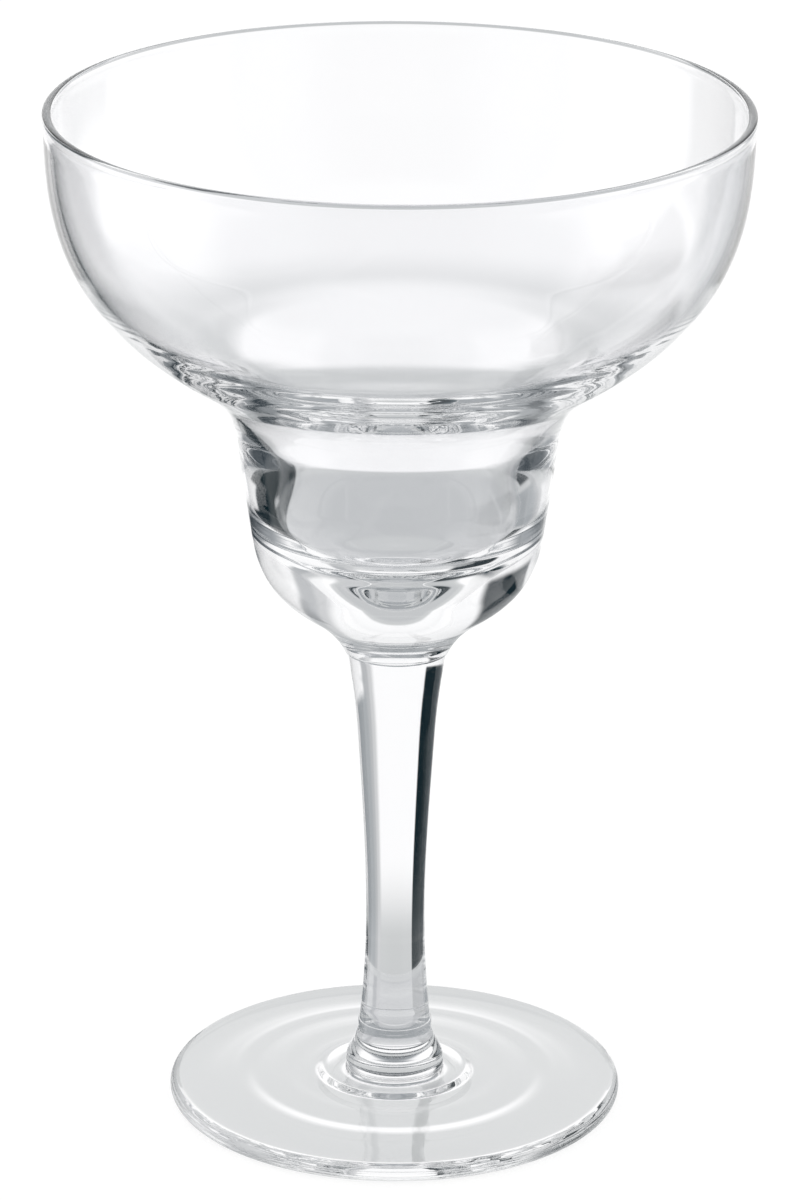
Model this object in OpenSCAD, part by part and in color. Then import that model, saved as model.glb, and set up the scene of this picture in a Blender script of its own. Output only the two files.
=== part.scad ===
// Margarita glass: a blown bowl of a wide saucer over a small well,
// a solid drawn stem and a pressed foot, joined hot end to end.
// The glass stands on the plane z = 0 and its axis is the Z axis.

/* [Saucer] */
// Outer diameter of the wall just under the rim bead
rim_d = 116.4; // [100:0.2:130]
// Height of the saucer from the neck to the top of the rim
saucer_h = 54; // [44:0.5:66]
// Wall of the saucer under the rim bead
rim_wall = 1.3; // [0.9:0.1:2]
// Thickness of the fire-polished bead that closes the rim
bead_d = 1.66; // [1.2:0.02:2.4]

/* [Well] */
// Outer diameter of the neck, where the saucer grows out of the well
neck_d = 54.6; // [46:0.2:66]
// Height of the well from the stem joint to the neck
well_h = 40; // [34:0.5:50]
// Wall of the bowl at the neck
neck_wall = 4.1; // [2.6:0.1:5]
// Thickness of the solid glass between the cavity and the stem joint
floor_t = 12.9; // [9:0.1:16]
// Diameter of the bowl's underside at its joint with the stem
top_joint_d = 17.6; // [14:0.2:22]

/* [Stem] */
// Length of the stem between its two joints
stem_h = 67.5; // [50:0.5:90]
// Diameter of the stem's waist, its slimmest place
waist_d = 10; // [8:0.2:12]
// Diameter of the stem at its joint with the foot
foot_joint_d = 12.2; // [10.4:0.2:14]
// How far the bowl's underside stands out past the stem's top, all round
top_step = 0.3; // [0.1:0.05:0.6]

/* [Foot] */
// Diameter of the foot
foot_d = 77.4; // [64:0.2:90]
// Height of the foot with the stub that carries the stem
foot_h = 13.5; // [11:0.5:18]
// Thickness of the foot at its round edge
edge_t = 3.2; // [2.4:0.1:4]
// Thickness that the foot gains from its edge to the flare's ring
foot_rise = 1.3; // [0.6:0.1:2]
// Diameter of the stub's knob, its widest place
knob_d = 16.8; // [15:0.2:20]
// Diameter of the flare's raised ring round the knob
flare_d = 24.2; // [22:0.2:32]
// How far the stub's lip stands out past the stem's foot, all round
lip_step = 0.15; // [0.05:0.05:0.4]
// Width of the flat ring that the glass rests on
rest_w = 3.6; // [2:0.2:6]
// Depth of the hollow under the foot, inside the resting ring
hollow_h = 0.9; // [0.4:0.1:1.6]

/* [Hidden] */
$fn = 128;

// Straight steps that one stretch of an outline is drawn with: between two
// stations, between two points of the foot's top, and round an edge
curve_steps = 5;
fine_steps = 3;
edge_steps = 8;

// Heights of the two joints, the neck, the rim and the cavity's floor
foot_joint_z = foot_h;
top_joint_z = foot_joint_z + stem_h;
neck_z = top_joint_z + well_h;
rim_z = neck_z + saucer_h;
cavity_z = top_joint_z + floor_t;

// Radii
rim_r = rim_d / 2;
rim_in_r = rim_r - rim_wall;
bead_r = bead_d / 2;
neck_r = neck_d / 2;
neck_in_r = neck_r - neck_wall;
top_joint_r = top_joint_d / 2;
waist_r = waist_d / 2;
foot_joint_r = foot_joint_d / 2;
knob_r = knob_d / 2;
edge_r = edge_t / 2;

// The wall reaches to the bead's own thickness below the bead's centre
wall_top_z = rim_z - 3 * bead_r;

// Stations of the outlines. Each is [share of the height, share of the
// radius, lean], and lean is the share of radius gained per share of height.
saucer_out_shares = [
    [0, 0, 0.5], [0.11, 0.105, 1.65], [0.2, 0.3, 2.6],
    [0.37, 0.65, 1.55], [0.57, 0.877, 0.75], [1, 1, 0.04]];
saucer_in_shares = [
    [0, 0, 0.54], [0.078, 0.047, 0.77], [0.146, 0.113, 1.2], [0.204, 0.209, 2.2],
    [0.272, 0.4, 2.98], [0.39, 0.668, 1.66], [0.57, 0.873, 0.75], [1, 1, 0.06]];
well_out_shares = [
    [0, 0, 0.95], [0.18, 0.365, 3.25], [0.37, 0.755, 1],
    [0.6, 0.87, 0.32], [0.8, 0.933, 0.32], [1, 1, 0.6]];
cavity_shares = [
    [0.15, 0.466, 1.85], [0.262, 0.715, 1.83], [0.373, 0.831, 0.61],
    [0.52, 0.884, 0.18], [0.705, 0.913, 0.18], [0.871, 0.953, 0.31], [1, 1, 0.42]];
stem_low_shares = [[0, 0, 0], [1, 1, 2]];
stem_high_shares = [[0, 0, 0], [0.69, 0.445, 0.9], [0.9, 0.76, 2.28], [1, 1, 4.6]];

// Points on the foot's top, from the joint down and outwards. The stub's are
// [share of the way from lip to knob, share of the height above the flare],
// the flare's [share of the way from knob to ring, share of the foot's rise],
// and the plate's [share of the way from ring to edge, share of the rise].
stub_shares = [
    [0, 1], [0.024, 0.933], [0.016, 0.844], [0.165, 0.7], [0.375, 0.556],
    [0.645, 0.428], [0.9, 0.3], [1, 0.144], [0.97, 0.067], [0.92, 0.028]];
flare_shares = [[0.06, 1], [0.33, 0.885], [0.7, 0.92], [1, 1]];
plate_shares = [
    [0.028, 0.84], [0.06, 0.62], [0.092, 0.585], [0.132, 0.57], [0.196, 0.535],
    [0.28, 0.47], [0.36, 0.425], [0.43, 0.39], [0.484, 0.347], [0.54, 0.246],
    [0.59, 0.183], [0.646, 0.152], [0.716, 0.105], [0.796, 0.055], [0.87, 0.015],
    [0.93, 0], [1, 0]];

// Share of the stem's length at which its waist lies
waist_share = 0.285;
// Share of the cavity's floor that is nearly flat
floor_flat_share = 0.5;

// One cubic curve from a to b, given as points, with an arm at each end
function cubic(a, a_arm, b, b_arm, steps = curve_steps) = [
    for (i = [0 : steps])
        let (t = i / steps, s = 1 - t)
            s * s * s * a + 3 * s * s * t * (a + a_arm)
                + 3 * s * t * t * (b - b_arm) + t * t * t * b];

// A station's point, and its arm along the outline over a share of the height
function place(s, low, high) = [
    low[0] + s[1] * (high[0] - low[0]), low[1] + s[0] * (high[1] - low[1])];
function arm(s, share, low, high) =
    share * [s[2] * (high[0] - low[0]), high[1] - low[1]];

// A smooth outline through all stations, between two points [radius, height]
function outline(shares, low, high) = [
    for (i = [0 : len(shares) - 2])
        let (a = shares[i], b = shares[i + 1], third = (b[0] - a[0]) / 3)
            each cubic(place(a, low, high), arm(a, third, low, high),
                place(b, low, high), arm(b, third, low, high))];

// The same points from last to first
function turned(points) = [for (i = [len(points) - 1 : -1 : 0]) points[i]];

// A smooth curve through points, which runs at each point as its neighbours lie
function way(points, i) =
    let (step = points[min(i + 1, len(points) - 1)] - points[max(i - 1, 0)])
        step / norm(step);
function through(points) = [
    for (i = [0 : len(points) - 2])
        let (a = points[i], b = points[i + 1], third = norm(b - a) / 3)
            each cubic(a, third * way(points, i), b, third * way(points, i + 1),
                fine_steps)];

// Points of an arc about a centre, from one angle to another
function arc(centre, r, from, to) = [
    for (i = [0 : edge_steps])
        let (angle = from + (to - from) * i / edge_steps)
            centre + r * [cos(angle), sin(angle)]];

// Rounded floor of the cavity, from the axis out to its wall's lowest station
function cavity_floor() =
    let (
        low = [0, cavity_z],
        high = [neck_in_r, neck_z],
        edge = place(cavity_shares[0], low, high),
        edge_arm = arm(cavity_shares[0], cavity_shares[0][0] / 2, low, high))
        cubic(low, [floor_flat_share * edge[0], 0], edge, edge_arm);

// The bowl: saucer, well and solid floor in one thickness of glass
module bowl() {
    color([0.86, 0.93, 0.94, 0.45])
        rotate_extrude()
            polygon(concat(
                [[0, top_joint_z]],
                outline(well_out_shares, [top_joint_r, top_joint_z], [neck_r, neck_z]),
                outline(saucer_out_shares, [neck_r, neck_z], [rim_r, wall_top_z]),
                arc([rim_r - rim_wall / 2, rim_z - bead_r], bead_r, -30, 210),
                turned(outline(saucer_in_shares, [neck_in_r, neck_z],
                    [rim_in_r, wall_top_z])),
                turned(outline(cavity_shares, [0, cavity_z], [neck_in_r, neck_z])),
                turned(cavity_floor())));
}

// The stem: one solid drawn rod, slimmest low down, flaring into the bowl
module stem() {
    waist = [waist_r, foot_joint_z + waist_share * stem_h];
    foot_end = [foot_joint_r, foot_joint_z];
    color([0.8, 0.89, 0.92, 0.6])
        rotate_extrude()
            polygon(concat(
                [[0, foot_joint_z]],
                turned(outline(stem_low_shares, waist, foot_end)),
                outline(stem_high_shares, waist, [top_joint_r - top_step, top_joint_z]),
                [[0, top_joint_z]]));
}

// Points between two corners, given as shares of the width and of the height
function spread(shares, low, high) = [
    for (s = shares)
        [low[0] + s[0] * (high[0] - low[0]), low[1] + s[1] * (high[1] - low[1])]];

// The foot: a round-edged disc with a stub for the stem. Its underside is a
// shallow dome, so the disc is about as thick in the middle as near the edge.
module foot() {
    lip_r = foot_joint_r + lip_step;
    ring_r = flare_d / 2;
    ring_z = edge_t + foot_rise;
    edge_centre = [foot_d / 2 - edge_r, edge_r];
    rest_in_r = edge_centre[0] - rest_w;
    rest_arm = [-rest_in_r, 2 * hollow_h] / 3;
    dome_arm = [-rest_in_r, 0] / 3;
    color([0.83, 0.91, 0.93, 0.5])
        rotate_extrude()
            polygon(concat(
                [[0, foot_joint_z]],
                through(concat(
                    spread(stub_shares, [lip_r, ring_z], [knob_r, foot_h]),
                    spread(flare_shares, [knob_r, edge_t], [ring_r, ring_z]),
                    spread(plate_shares, [ring_r, edge_t], [edge_centre[0], ring_z]))),
                arc(edge_centre, edge_r, 90, -90),
                cubic([rest_in_r, 0], rest_arm, [0, hollow_h], dome_arm)));
}

bowl();
stem();
foot();
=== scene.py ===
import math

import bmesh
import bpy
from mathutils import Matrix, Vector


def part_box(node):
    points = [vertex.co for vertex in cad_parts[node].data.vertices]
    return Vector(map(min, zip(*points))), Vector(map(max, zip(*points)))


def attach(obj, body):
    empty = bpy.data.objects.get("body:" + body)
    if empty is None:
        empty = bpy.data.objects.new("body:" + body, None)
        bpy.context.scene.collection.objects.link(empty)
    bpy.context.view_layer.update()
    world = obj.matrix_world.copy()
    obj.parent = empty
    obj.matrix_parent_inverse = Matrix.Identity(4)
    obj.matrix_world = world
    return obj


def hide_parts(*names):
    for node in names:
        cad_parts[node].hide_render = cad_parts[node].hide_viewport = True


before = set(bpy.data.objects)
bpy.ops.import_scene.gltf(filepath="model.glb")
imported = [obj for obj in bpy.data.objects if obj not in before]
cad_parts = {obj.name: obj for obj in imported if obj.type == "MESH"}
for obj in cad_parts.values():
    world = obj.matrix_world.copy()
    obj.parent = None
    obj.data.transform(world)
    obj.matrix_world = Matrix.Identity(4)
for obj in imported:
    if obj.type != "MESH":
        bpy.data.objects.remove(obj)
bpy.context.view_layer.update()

# %% [markdown]
# # A margarita glass
# This notebook dresses three solids that already have their real size and place: a bowl, a stem and
# a foot. On the bench they are three gathers of clear glass, joined while hot. Glass has no colour to
# speak of, so everything that the eye sees comes from its outline, the thickness of its walls and the
# room around it. The lesson therefore spends its care on smooth outlines and on the light.

MM = 0.001

# %% [markdown]
# ## The camera
# The glass is seen from a little above its rim, through a long lens from about a metre away, so its
# rim and its foot are ellipses and it hardly tapers towards the foot. A camera can be placed by eye,
# but a glass shows every degree, because its outline hides and shows the far wall. So the place and
# the angles below were worked out from the two ellipses and the stem's line, for a glass 175 mm
# high. The camera has no shift and everything is in focus.

# %% Camera
CAMERA_BACK = 923.6 * MM
CAMERA_UP = 422.6 * MM
LOOK_DOWN = math.radians(19.82)
LOOK_LEFT = math.radians(-0.03)
ROLL = math.radians(0.34)
LENS = 175.45
SENSOR = 36.0
NEAREST = 0.01
FARTHEST = 50.0

camera_data = bpy.data.cameras.new("camera")
camera_data.lens = LENS
camera_data.sensor_width = SENSOR
camera_data.clip_start = NEAREST
camera_data.clip_end = FARTHEST
camera = bpy.data.objects.new("camera", camera_data)
bpy.context.scene.collection.objects.link(camera)
camera.matrix_world = (
    Matrix.Translation((0, -CAMERA_BACK, CAMERA_UP))
    @ Matrix.Rotation(LOOK_LEFT, 4, "Z")
    @ Matrix.Rotation(math.pi / 2 - LOOK_DOWN, 4, "X")
    @ Matrix.Rotation(ROLL, 4, "Z")
)
bpy.context.scene.camera = camera
print("camera at", tuple(round(v, 4) for v in camera.matrix_world.translation))

# %% [markdown]
# ## Outlines
# Blown and drawn glass has no straight stretches and no corners. Its outline could be drawn by hand
# as a curve, but then its sizes would be hidden in the handles. So each outline is a chain of cubic
# curves between stations. A station says where the curve passes, as shares of a height and of a
# radius, and how much the radius gains there. A few stations give a curve that is smooth all the way.

# %% Outlines from stations
STEPS = 14


def cubic(a, a_arm, b, b_arm, steps=STEPS):
    """Points of one cubic curve from a to b, with an arm at each end."""
    points = []
    for i in range(steps + 1):
        t = i / steps
        s = 1 - t
        points.append(
            s**3 * a + 3 * s * s * t * (a + a_arm) + 3 * s * t * t * (b - b_arm) + t**3 * b
        )
    return points


def outline(stations, low, high):
    """A smooth chain through stations of (height share, radius share, lean)."""
    span = high - low
    points = []
    for (h0, r0, lean0), (h1, r1, lean1) in zip(stations, stations[1:]):
        third = (h1 - h0) / 3
        a = low + Vector((r0 * span.x, h0 * span.y))
        b = low + Vector((r1 * span.x, h1 * span.y))
        a_arm = third * Vector((lean0 * span.x, span.y))
        b_arm = third * Vector((lean1 * span.x, span.y))
        points += cubic(a, a_arm, b, b_arm)
    return points


print("one stretch between two stations has", STEPS, "steps")

# %% [markdown]
# ## Outlines through points
# The foot's top turns too sharply for stations, because it doubles back under the knob of its stub.
# It is given as points along its way instead, and a curve runs through them all. Round edges are
# plain arcs.

# %% Outlines through points
FINE_STEPS = 4


def through(points):
    """A smooth curve through points, which runs at each point as its neighbours lie."""
    last = len(points) - 1
    ways = [
        (points[min(i + 1, last)] - points[max(i - 1, 0)]).normalized() for i in range(last + 1)
    ]
    curve = []
    for a, b, a_way, b_way in zip(points, points[1:], ways, ways[1:]):
        third = (b - a).length / 3
        curve += cubic(a, third * a_way, b, third * b_way, FINE_STEPS)
    return curve


def spread(shares, low, high):
    """Points between two corners, given as shares of the width and of the height."""
    span = high - low
    return [low + Vector((x * span.x, y * span.y)) for x, y in shares]


def arc(centre, radius, start, end):
    """Points of an arc about a centre, with its angles in degrees."""
    angles = [math.radians(start + (end - start) * i / STEPS) for i in range(STEPS + 1)]
    return [centre + radius * Vector((math.cos(a), math.sin(a))) for a in angles]


print("one stretch between two points has", FINE_STEPS, "steps")

# %% [markdown]
# ## Turning an outline into glass
# A glass is a body of revolution. A Screw modifier would do, but one spin of the outline about the
# upright axis gives a plain mesh at once. The outline starts and ends on the axis, which closes the
# solid, and glass needs that: light has to know when it is inside. The disc where two pieces are
# joined hot lies flat against its neighbour, and it gets a second material slot.

# %% Spin
TURNS = 240
JOINT_SLOT = 1
# Points nearer than this are one point, vertices nearer than this are welded, both in millimetres,
# and heights and radii in metres that differ by less than the last value are the same.
SAME_MM = 0.001
WELD_MM = 0.0002
LEVEL = 1e-6


def spin_glass(name, points, joints):
    """Spins an outline of (radius, height) in millimetres into one closed, smooth solid.

    Each joint is the radius and the height of a disc that touches another piece.
    """
    mesh = bpy.data.meshes.new(name)
    bm = bmesh.new()
    last = None
    for point in points:
        if last and (point - last[1]).length < SAME_MM:
            continue
        vert = bm.verts.new((max(point.x, 0) * MM, 0, point.y * MM))
        if last:
            bm.edges.new((last[0], vert))
        last = (vert, point)
    bmesh.ops.spin(
        bm,
        geom=bm.verts[:] + bm.edges[:],
        cent=(0, 0, 0),
        axis=(0, 0, 1),
        angle=2 * math.pi,
        steps=TURNS,
        use_merge=True,
    )
    bmesh.ops.remove_doubles(bm, verts=bm.verts, dist=WELD_MM * MM)
    bmesh.ops.recalc_face_normals(bm, faces=bm.faces)
    for face in bm.faces:
        face.smooth = True
        for joint_r, joint_z in joints:
            level = all(abs(v.co.z - joint_z * MM) < LEVEL for v in face.verts)
            if level and all(v.co.xy.length < joint_r * MM + LEVEL for v in face.verts):
                face.material_index = JOINT_SLOT
                face.smooth = False
    for edge in bm.edges:
        if len({face.material_index for face in edge.link_faces}) > 1:
            edge.smooth = False
    bm.to_mesh(mesh)
    bm.free()
    piece = bpy.data.objects.new(name, mesh)
    bpy.context.scene.collection.objects.link(piece)
    print(name, "has", len(mesh.polygons), "faces")
    return piece


# %% [markdown]
# ## Sizes
# These are the sizes of the solids, in millimetres. Heights and the foot's radius are read off the
# frame, which holds each solid's box. Walls and inner radii can't be read there, so they are written
# out. Heights grow from the foot's resting plane, and every radius is taken from the upright axis.

# %% Sizes of the glass
foot_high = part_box("foot")[1]
stem_low, stem_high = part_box("stem")
bowl_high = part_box("bowl")[1]
FOOT_JOINT_Z = stem_low[2] / MM
TOP_JOINT_Z = stem_high[2] / MM
RIM_Z = bowl_high[2] / MM
FOOT_R = foot_high[0] / MM

RIM_R = 58.2
RIM_WALL = 1.3
BEAD_R = 0.83
NECK_R = 27.3
NECK_WALL = 4.1
WELL_H = 40
FLOOR_T = 12.9
TOP_JOINT_R = 8.8
TOP_STEP = 0.3
WAIST_R = 5
FOOT_JOINT_R = 6.1
LIP_STEP = 0.15
NECK_Z = TOP_JOINT_Z + WELL_H
WALL_TOP_Z = RIM_Z - 3 * BEAD_R
CAVITY_Z = TOP_JOINT_Z + FLOOR_T
STEM_TOP_R = TOP_JOINT_R - TOP_STEP
print("joints at", FOOT_JOINT_Z, "and", TOP_JOINT_Z, "rim at", RIM_Z)

# %% [markdown]
# ## The bowl
# The bowl is blown in one: a wide saucer over a small well, with a solid floor that the stem is stuck
# to. The wall grows from little over a millimetre at the rim to several at the neck. A thin shell
# with a Solidify modifier would have one thickness all over, and it is the change of thickness that
# bends the light into the grey and white bands of the well. So the inside has its own outline.

# %% Bowl
SAUCER_OUT = [
    (0, 0, 0.5), (0.11, 0.105, 1.65), (0.2, 0.3, 2.6),
    (0.37, 0.65, 1.55), (0.57, 0.877, 0.75), (1, 1, 0.04),
]
SAUCER_IN = [
    (0, 0, 0.54), (0.078, 0.047, 0.77), (0.146, 0.113, 1.2), (0.204, 0.209, 2.2),
    (0.272, 0.4, 2.98), (0.39, 0.668, 1.66), (0.57, 0.873, 0.75), (1, 1, 0.06),
]
WELL_OUT = [
    (0, 0, 0.95), (0.18, 0.365, 3.25), (0.37, 0.755, 1),
    (0.6, 0.87, 0.32), (0.8, 0.933, 0.32), (1, 1, 0.6),
]
CAVITY = [
    (0.15, 0.466, 1.85), (0.262, 0.715, 1.83), (0.373, 0.831, 0.61),
    (0.52, 0.884, 0.18), (0.705, 0.913, 0.18), (0.871, 0.953, 0.31), (1, 1, 0.42),
]
FLOOR_FLAT = 0.5
BEAD_START, BEAD_END = -30, 210


def bowl_outline():
    """From the axis at the joint, up the outside, over the bead and down the inside."""
    joint = Vector((TOP_JOINT_R, TOP_JOINT_Z))
    neck = Vector((NECK_R, NECK_Z))
    neck_in = Vector((NECK_R - NECK_WALL, NECK_Z))
    rim = Vector((RIM_R, WALL_TOP_Z))
    rim_in = Vector((RIM_R - RIM_WALL, WALL_TOP_Z))
    bead = Vector((RIM_R - RIM_WALL / 2, RIM_Z - BEAD_R))
    floor = Vector((0, CAVITY_Z))
    share, radius_share, lean = CAVITY[0]
    reach = neck_in - floor
    edge = floor + Vector((radius_share * reach.x, share * reach.y))
    edge_arm = share / 2 * Vector((lean * reach.x, reach.y))
    return (
        [Vector((0, TOP_JOINT_Z)), Vector((STEM_TOP_R, TOP_JOINT_Z))]
        + outline(WELL_OUT, joint, neck)
        + outline(SAUCER_OUT, neck, rim)
        + arc(bead, BEAD_R, BEAD_START, BEAD_END)
        + outline(SAUCER_IN, neck_in, rim_in)[::-1]
        + outline(CAVITY, floor, neck_in)[::-1]
        + cubic(floor, Vector((FLOOR_FLAT * edge.x, 0)), edge, edge_arm)[::-1]
    )


bowl = spin_glass("bowl_glass", bowl_outline(), [(STEM_TOP_R, TOP_JOINT_Z)])

# %% [markdown]
# ## The stem
# The stem is one solid rod, drawn out of a gather, slimmest low down and flaring into the bowl. A
# cylinder with a few loops scaled in would show its loops as kinks in the dark line down its side, so
# it is spun from an outline too. It ends a little inside the bowl's underside, which leaves the small
# step that the eye reads as the joint.

# %% Stem
WAIST_SHARE = 0.285
STEM_LOW = [(0, 0, 0), (1, 1, 2)]
STEM_HIGH = [(0, 0, 0), (0.69, 0.445, 0.9), (0.9, 0.76, 2.28), (1, 1, 4.6)]


def stem_outline():
    """From the foot's joint up to the bowl's."""
    foot_end = Vector((FOOT_JOINT_R, FOOT_JOINT_Z))
    waist = Vector((WAIST_R, FOOT_JOINT_Z + WAIST_SHARE * (TOP_JOINT_Z - FOOT_JOINT_Z)))
    bowl_end = Vector((STEM_TOP_R, TOP_JOINT_Z))
    return (
        [Vector((0, FOOT_JOINT_Z))]
        + outline(STEM_LOW, waist, foot_end)[::-1]
        + outline(STEM_HIGH, waist, bowl_end)
        + [Vector((0, TOP_JOINT_Z))]
    )


stem_joints = [(FOOT_JOINT_R, FOOT_JOINT_Z), (STEM_TOP_R, TOP_JOINT_Z)]
stem = spin_glass("stem_glass", stem_outline(), stem_joints)

# %% [markdown]
# ## The foot
# The foot is a round-edged disc with a low stub that takes the stem. While it was hot it was spun and
# pressed, which left a knob on the stub, a raised ring round it and shallow steps on the disc. They
# could be painted on as bumps, but each one bends the light like a lens, so they are in the outline.
# The foot is hollow underneath, so it stands on a ring and doesn't rock.

# %% Foot
EDGE_R = 1.6
FOOT_RISE = 1.3
KNOB_R = 8.4
RING_R = 12.1
REST_W = 3.6
HOLLOW_H = 0.9
STUB = [
    (0, 1), (0.024, 0.933), (0.016, 0.844), (0.165, 0.7), (0.375, 0.556),
    (0.645, 0.428), (0.9, 0.3), (1, 0.144), (0.97, 0.067), (0.92, 0.028),
]
FLARE = [(0.06, 1), (0.33, 0.885), (0.7, 0.92), (1, 1)]
PLATE = [
    (0.028, 0.84), (0.06, 0.62), (0.092, 0.585), (0.132, 0.57), (0.196, 0.535), (0.28, 0.47),
    (0.36, 0.425), (0.43, 0.39), (0.484, 0.347), (0.54, 0.246), (0.59, 0.183), (0.646, 0.152),
    (0.716, 0.105), (0.796, 0.055), (0.87, 0.015), (0.93, 0), (1, 0),
]


def foot_outline():
    """From the stem's joint out over the top, round the edge and back under the hollow."""
    edge = Vector((FOOT_R - EDGE_R, EDGE_R))
    edge_top = 2 * EDGE_R
    ring = Vector((RING_R, edge_top + FOOT_RISE))
    lip = Vector((FOOT_JOINT_R + LIP_STEP, ring.y))
    rest = Vector((edge.x - REST_W, 0))
    rest_arm = Vector((-rest.x, 2 * HOLLOW_H)) / 3
    dome_arm = Vector((-rest.x, 0)) / 3
    top = (
        spread(STUB, lip, Vector((KNOB_R, FOOT_JOINT_Z)))
        + spread(FLARE, Vector((KNOB_R, edge_top)), ring)
        + spread(PLATE, Vector((RING_R, edge_top)), Vector((edge.x, ring.y)))
    )
    return (
        [Vector((0, FOOT_JOINT_Z)), Vector((FOOT_JOINT_R, FOOT_JOINT_Z))]
        + through(top)
        + arc(edge, EDGE_R, 90, -90)
        + cubic(rest, rest_arm, Vector((0, HOLLOW_H)), dome_arm)
    )


foot = spin_glass("foot_glass", foot_outline(), [(FOOT_JOINT_R, FOOT_JOINT_Z)])

# %% [markdown]
# ## Helpers for materials
# Colours are written as the hex values that a picture would show, and one function turns them to the
# linear values that the renderer works with. One small function adds a node together with its
# settings and its links, so a material reads from top to bottom like a recipe.

# %% Colours and nodes


def from_hex(code):
    """Linear colour of an sRGB hex value."""
    parts = [int(code[i : i + 2], 16) / 255 for i in (1, 3, 5)]
    linear = [p / 12.92 if p <= 0.04045 else ((p + 0.055) / 1.055) ** 2.4 for p in parts]
    return (*linear, 1.0)


def add_node(tree, kind, settings=None, inputs=None):
    """Adds a node with its settings. An input is a constant or another node's output."""
    node = tree.nodes.new(kind)
    for key, value in (settings or {}).items():
        setattr(node, key, value)
    for key, value in (inputs or {}).items():
        if isinstance(value, bpy.types.NodeSocket):
            tree.links.new(value, node.inputs[key])
        else:
            node.inputs[key].default_value = value
    return node


def new_material(name):
    """A material with an empty node tree."""
    material = bpy.data.materials.new(name)
    material.use_nodes = True
    material.node_tree.nodes.clear()
    return material, material.node_tree


print("mid grey #808080 is", round(from_hex("#808080")[0], 3), "in linear light")

# %% [markdown]
# ## Clear glass
# The whole object is soda-lime glass, the common glass of bottles and tumblers, and its index is
# about 1.52. It was blown, drawn or pressed and then polished by fire, which melts the skin smooth,
# so its roughness is zero and every reflection is sharp. It is almost without colour: only the
# longest ways through it turn a touch cool. A Glass shader would do, but the Principled shader with
# full transmission carries over to other programs.
#
# What tells hand-made glass from a perfect lens is its skin, which is never quite even. A bump of
# soft noise stands for that. Its waves have the length and the height of real ones.

# %% Glass with a wavy skin
GLASS_INDEX = 1.52
GLASS_TINT = "#FEFEFF"
WAVE_DETAIL = 1.0
WAVE_ROUGHNESS = 0.4


def glass(name, wave_mm, wave_height_mm):
    """Clear glass whose skin is wavy: the waves' length along X, Y and Z, and how high they are."""
    material, tree = new_material(name)
    place = add_node(tree, "ShaderNodeTexCoord")
    mapping = add_node(
        tree,
        "ShaderNodeMapping",
        inputs={"Vector": place.outputs["Object"], "Scale": [1 / (w * MM) for w in wave_mm]},
    )
    waves = add_node(
        tree,
        "ShaderNodeTexNoise",
        inputs={
            "Vector": mapping.outputs["Vector"],
            "Scale": 1.0,
            "Detail": WAVE_DETAIL,
            "Roughness": WAVE_ROUGHNESS,
        },
    )
    skin = add_node(
        tree,
        "ShaderNodeBump",
        inputs={"Height": waves.outputs["Fac"], "Strength": 1.0, "Distance": wave_height_mm * MM},
    )
    shader = add_node(
        tree,
        "ShaderNodeBsdfPrincipled",
        inputs={
            "Base Color": from_hex(GLASS_TINT),
            "Roughness": 0.0,
            "IOR": GLASS_INDEX,
            "Transmission Weight": 1.0,
            "Normal": skin.outputs["Normal"],
        },
    )
    add_node(tree, "ShaderNodeOutputMaterial", inputs={"Surface": shader.outputs["BSDF"]})
    print(name, "has waves of", wave_mm, "mm,", wave_height_mm, "mm high")
    return material


# Blown glass: the mould and the blower's turning leave broad, low waves round the bowl. What is seen
# through the wall swims a little, and the bands in the well aren't quite straight.
blown_glass = glass("blown_soda_lime_glass", (28, 28, 14), 0.01)

# Drawn glass: the pull leaves lines along the stem. Real ones are a few tenths of a millimetre apart
# and too fine to show, so they are drawn as coarse as 1.6 mm. They give faint upright streaks.
drawn_glass = glass("drawn_soda_lime_glass", (1.6, 1.6, 60), 0.004)

# Spun glass: the disc of the foot was spun flat while hot, and it cooled in patches as wide as a
# fingertip. They make the grey of the disc a little uneven.
spun_glass = glass("spun_soda_lime_glass", (16, 16, 16), 0.006)

# %% [markdown]
# ## Hot joints
# Where two gathers were joined hot there is no surface left, and light crosses from glass to glass.
# Three closed solids that touch would show a mirror there. They could be merged into one mesh, but
# the pieces should stay apart. So the discs of each joint are fully see-through, which lets light
# pass without bending, and the eye sees only the small step round the joint.

# %% Joints, and what each piece stands for
JOINT_TINT = "#FFFFFF"

hot_joint, tree = new_material("hot_joint_glass_to_glass")
seam = add_node(tree, "ShaderNodeBsdfTransparent", inputs={"Color": from_hex(JOINT_TINT)})
add_node(tree, "ShaderNodeOutputMaterial", inputs={"Surface": seam.outputs["BSDF"]})
for piece, material, node, slot in (
    (bowl, blown_glass, "bowl", "bowl_glass"),
    (stem, drawn_glass, "stem", "stem_glass"),
    (foot, spun_glass, "foot", "foot_glass"),
):
    piece.data.materials.append(material)
    piece.data.materials.append(hot_joint)
    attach(piece, "root")
    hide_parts(node)
    print(piece.name, "is", material.name, "in the place of", node)

# %% [markdown]
# ## The studio
# The glass stands on white paper in an even, white room. Glass passes most light straight on, so the
# number of bounces matters more than the lamps: light that is guided inside a wall turns more than
# twenty times before it comes out, and with too few bounces the walls go black.

# %% Light in the room
BOUNCES = 64
DIFFUSE_BOUNCES = 2
JOINT_BOUNCES = 16

scene = bpy.context.scene
scene.view_settings.view_transform = "Standard"
scene.cycles.max_bounces = BOUNCES
scene.cycles.transmission_bounces = BOUNCES
scene.cycles.glossy_bounces = BOUNCES
scene.cycles.diffuse_bounces = DIFFUSE_BOUNCES
scene.cycles.transparent_max_bounces = JOINT_BOUNCES

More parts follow.
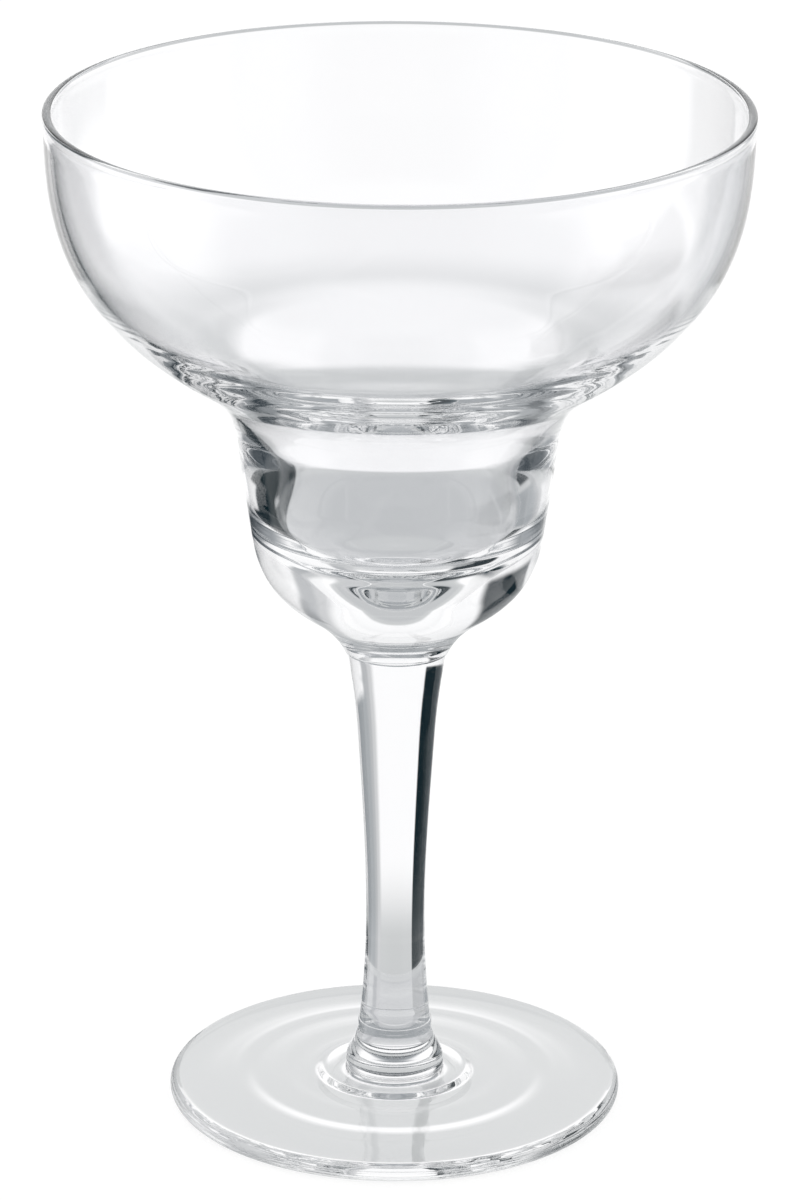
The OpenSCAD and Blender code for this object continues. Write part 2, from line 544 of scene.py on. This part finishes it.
world = bpy.data.worlds.new("studio")
scene.world = world
world.use_nodes = True
background = world.node_tree.nodes["Background"]
background.inputs["Color"].default_value = from_hex("#FFFFFF")
background.inputs["Strength"].default_value = 1.0
print("light may turn", BOUNCES, "times in the glass")


def on_stage(name, bm, material, hidden_from, drop=0.0):
    """Makes a shape a part of the studio that some kinds of light pass by."""
    mesh = bpy.data.meshes.new(name)
    bm.to_mesh(mesh)
    bm.free()
    mesh.materials.append(material)
    piece = bpy.data.objects.new(name, mesh)
    piece.location.z = -drop
    for light in hidden_from:
        setattr(piece, "visible_" + light, False)
    scene.collection.objects.link(piece)
    print(name, "has", len(mesh.polygons), "faces and is passed by", ", ".join(hidden_from))


# %% [markdown]
# ## White paper
# The ground is matt white paper. Lit from all sides, it would be as bright as its own colour, and a
# white that still shows a shadow needs care: most of the white is a glow of its own, and a darker
# matt part on top catches the light and loses it under the glass. Both together come to just white.
# The glass doesn't look at this paper, because it stands in a tent of its own.

# %% Ground
GROUND_SIZE = 6.0
GROUND_DROP = 0.2 * MM
PAPER_GLOW = 0.86

ground_paper, tree = new_material("white_paper")
paper = add_node(tree, "ShaderNodeBsdfDiffuse", inputs={"Color": from_hex("#7A7A7A")})
glow = add_node(
    tree, "ShaderNodeEmission", inputs={"Color": from_hex("#FFFFFF"), "Strength": PAPER_GLOW}
)
both = add_node(
    tree, "ShaderNodeAddShader", inputs={0: paper.outputs["BSDF"], 1: glow.outputs["Emission"]}
)
add_node(tree, "ShaderNodeOutputMaterial", inputs={"Surface": both.outputs["Shader"]})
bm = bmesh.new()
bmesh.ops.create_grid(bm, x_segments=1, y_segments=1, size=GROUND_SIZE / 2)
on_stage("ground", bm, ground_paper, ["transmission", "glossy"], GROUND_DROP)

# %% [markdown]
# ## Paper round the foot
# The foot's round edge is a strong lens that looks down at the paper right beside it. That strip of
# paper lies in the glass's own shadow, and it gives the edge its pale grey line. A ring that only the
# glass can see does the same, without a mark on the ground: its grey is painted shadow, and it glows
# by itself though it is no lamp.

# %% Paper ring
RING_IN = 36.6 * MM
RING_OUT = 44 * MM
RING_DROP = 0.1 * MM
TENT_GLOW = 1.06
HIDDEN = ["camera", "diffuse", "shadow"]

# Painted shadow: a grey ring that glows, standing for the paper that the glass shades beside the
# foot.
ring_painted_shadow, tree = new_material("glowing_paper_ring_in_painted_shadow")
glow = add_node(
    tree, "ShaderNodeEmission", inputs={"Color": from_hex("#CCCECE"), "Strength": TENT_GLOW}
)
add_node(tree, "ShaderNodeOutputMaterial", inputs={"Surface": glow.outputs["Emission"]})
bm = bmesh.new()
bmesh.ops.create_circle(bm, segments=TURNS, radius=RING_OUT)
inner = bmesh.ops.extrude_edge_only(bm, edges=bm.edges[:])["geom"]
bmesh.ops.scale(
    bm,
    vec=[RING_IN / RING_OUT] * 3,
    verts=[part for part in inner if isinstance(part, bmesh.types.BMVert)],
)
bmesh.ops.recalc_face_normals(bm, faces=bm.faces)
on_stage("paper_ring", bm, ring_painted_shadow, HIDDEN, RING_DROP)

# %% [markdown]
# ## The tent and its cards
# Clear glass in an all-white room would be invisible. In a studio it stands in a tent of white cloth,
# and grey and black cards round it draw its lines: each edge and each thick place bends the view
# aside until it meets a card. Lamps and real cards could be placed one by one, but then each one
# would also light the paper. So the tent is one large sphere that only the glass can see, and the
# cards are painted on its cloth by direction. The tent stands still: from another side the glass
# meets other cards, as it would on a turntable in a real tent.
#
# A camera that looks straight through thin glass should see the same white as beside the glass, from
# as many sides as possible. The cards in front, those far down and most of those at the left would
# spoil that, so only light that the glass has reflected at least once meets them. Light Path's glossy
# depth counts that.

# %% Cards by direction


def within(tree, value, start, end, soft):
    """1 where the value lies between start and end, falling to 0 over a soft edge outside them."""
    steps = [
        add_node(
            tree,
            "ShaderNodeMapRange",
            {"interpolation_type": "SMOOTHSTEP"},
            {"Value": value, "From Min": low, "From Max": low + soft},
        )
        for low in (start - soft, end)
    ]
    return add_node(
        tree,
        "ShaderNodeMath",
        {"operation": "SUBTRACT"},
        {0: steps[0].outputs["Result"], 1: steps[1].outputs["Result"]},
    ).outputs["Value"]


def bearing(tree, parts):
    """Degrees to the right of straight behind the glass, from a place on a stage piece."""
    turned = add_node(
        tree,
        "ShaderNodeMath",
        {"operation": "ARCTAN2"},
        {0: parts.outputs["X"], 1: parts.outputs["Y"]},
    )
    return add_node(
        tree, "ShaderNodeMath", {"operation": "DEGREES"}, {0: turned.outputs["Value"]}
    ).outputs["Value"]


# Each card: its name, where it starts and ends to the right of straight behind the glass, the same
# for its height above the horizon, all in degrees, over how many degrees its sides and its upper
# and lower edges fade, its colour, and whether only reflected light meets it.
CARDS = [
    ("ceiling", -180, 180, 55, 90, 1, 15, "#9CA0A3", False),
    # The three table cards are painted shadow: the white table is grey near the glass, where the
    # glass and the cards shade it.
    ("table_in_painted_shadow", -180, 180, -60, -24.5, 1, 6, "#CCCECE", False),
    ("near_table_in_painted_shadow", -180, 180, -60, -32, 1, 6, "#C4C6C7", False),
    ("table_under_glass_in_painted_shadow", -180, 180, -90, -60, 1, 6, "#C4C6C7", True),
    ("front_left", -180, -125, -90, 90, 20, 1, "#9CA0A3", True),
    ("front_right", 125, 180, -90, 90, 20, 1, "#9CA0A3", True),
    ("grey_edge", 26, 35, -60, 90, 6, 5, "#CDCECF", False),
    ("grey_fold", 31, 35, -60, 90, 4, 2, "#B6B8BA", False),
    ("low_card_right", 37, 60, -27, -10, 5, 3, "#A6AAAD", False),
    ("black_card_right", 66, 112, -32, -26, 4, 3, "#1E2A30", False),
    ("high_card_left", -60, -33, 15, 36, 5, 5, "#18252B", False),
    ("dark_card_left", -60, -31, -46, 4, 8, 8, "#34444C", True),
    ("black_card_left", -58, -30, -40, -5, 5, 5, "#0F2026", True),
    ("low_card_near", 37, 50, -47, -34, 3, 3, "#1E2A30", True),
    ("room_left", -180, -166, -20, 42, 30, 10, "#3A4248", True),
    ("room_right", 166, 180, -20, 42, 30, 10, "#3A4248", True),
]
print(len(CARDS), "cards on the tent")

# %% [markdown]
# The cloth is plain white nylon, which is matt and glows evenly when it is lit from outside. Its glow
# is a little over white, because each surface of the glass turns back about a twentieth of the light,
# and the glass should still look white beside the paper. The cards are laid over the cloth one after
# another, and their soft edges keep the lines in the glass soft.

# %% Tent
TENT_R = 3.0
TENT_SEGMENTS = 64

tent_cloth, tree = new_material("tent_cloth")
place = add_node(tree, "ShaderNodeTexCoord")
way = add_node(
    tree, "ShaderNodeVectorMath", {"operation": "NORMALIZE"}, {0: place.outputs["Object"]}
)
parts = add_node(tree, "ShaderNodeSeparateXYZ", inputs={0: way.outputs["Vector"]})
aside = bearing(tree, parts)
raised = add_node(tree, "ShaderNodeMath", {"operation": "ARCSINE"}, {0: parts.outputs["Z"]})
height = add_node(tree, "ShaderNodeMath", {"operation": "DEGREES"}, {0: raised.outputs["Value"]})
path = add_node(tree, "ShaderNodeLightPath")
reflected = add_node(
    tree, "ShaderNodeMath", {"operation": "MINIMUM"}, {0: path.outputs["Glossy Depth"], 1: 1.0}
)
cloth = from_hex("#FFFFFF")
for name, left, right, low, high, side_fade, top_fade, code, reflected_only in CARDS:
    across = within(tree, aside, left, right, side_fade)
    upward = within(tree, height.outputs["Value"], low, high, top_fade)
    share = add_node(tree, "ShaderNodeMath", {"operation": "MULTIPLY"}, {0: across, 1: upward})
    if reflected_only:
        share = add_node(
            tree,
            "ShaderNodeMath",
            {"operation": "MULTIPLY"},
            {0: share.outputs["Value"], 1: reflected.outputs["Value"]},
        )
    card = add_node(
        tree,
        "ShaderNodeMixRGB",
        {"label": name},
        {"Fac": share.outputs["Value"], "Color1": cloth, "Color2": from_hex(code)},
    )
    cloth = card.outputs["Color"]
glow = add_node(tree, "ShaderNodeEmission", inputs={"Color": cloth, "Strength": TENT_GLOW})
add_node(tree, "ShaderNodeOutputMaterial", inputs={"Surface": glow.outputs["Emission"]})
bm = bmesh.new()
bmesh.ops.create_uvsphere(
    bm, u_segments=TENT_SEGMENTS, v_segments=TENT_SEGMENTS // 2, radius=TENT_R
)
on_stage("tent", bm, tent_cloth, HIDDEN)

# %% [markdown]
# ## The near card
# The dark line down the right of the stem is a black card that stands close by, behind the glass and
# to its left: a solid rod shows what is beside it turned round. The card could be on the tent too,
# but a far card lies behind the whole glass in some views and blackens it. A low card close to the
# stem is only seen through the stem and the well. It is a round wall of clear air with black velvet
# on one part of it, a matt black that gives nothing back.

# %% Near card
NEAR_R = 110 * MM
NEAR_WALL_H = 256 * MM
NEAR_LEFT, NEAR_RIGHT, NEAR_SIDE_FADE = -72, -27, 2.5
NEAR_LOW, NEAR_HIGH, NEAR_TOP_FADE = -34 * MM, 64 * MM, 6 * MM

near_black, tree = new_material("near_card_black_velvet")
place = add_node(tree, "ShaderNodeTexCoord")
parts = add_node(tree, "ShaderNodeSeparateXYZ", inputs={0: place.outputs["Object"]})
across = within(tree, bearing(tree, parts), NEAR_LEFT, NEAR_RIGHT, NEAR_SIDE_FADE)
upward = within(tree, parts.outputs["Z"], NEAR_LOW, NEAR_HIGH, NEAR_TOP_FADE)
share = add_node(tree, "ShaderNodeMath", {"operation": "MULTIPLY"}, {0: across, 1: upward})
clear = add_node(tree, "ShaderNodeBsdfTransparent")
dark = add_node(tree, "ShaderNodeEmission", inputs={"Color": from_hex("#0F2026"), "Strength": 1.0})
card = add_node(
    tree,
    "ShaderNodeMixShader",
    inputs={0: share.outputs["Value"], 1: clear.outputs["BSDF"], 2: dark.outputs["Emission"]},
)
add_node(tree, "ShaderNodeOutputMaterial", inputs={"Surface": card.outputs["Shader"]})
bm = bmesh.new()
bmesh.ops.create_cone(
    bm, cap_ends=False, segments=TURNS, radius1=NEAR_R, radius2=NEAR_R, depth=NEAR_WALL_H
)
on_stage("near_card", bm, near_black, HIDDEN)
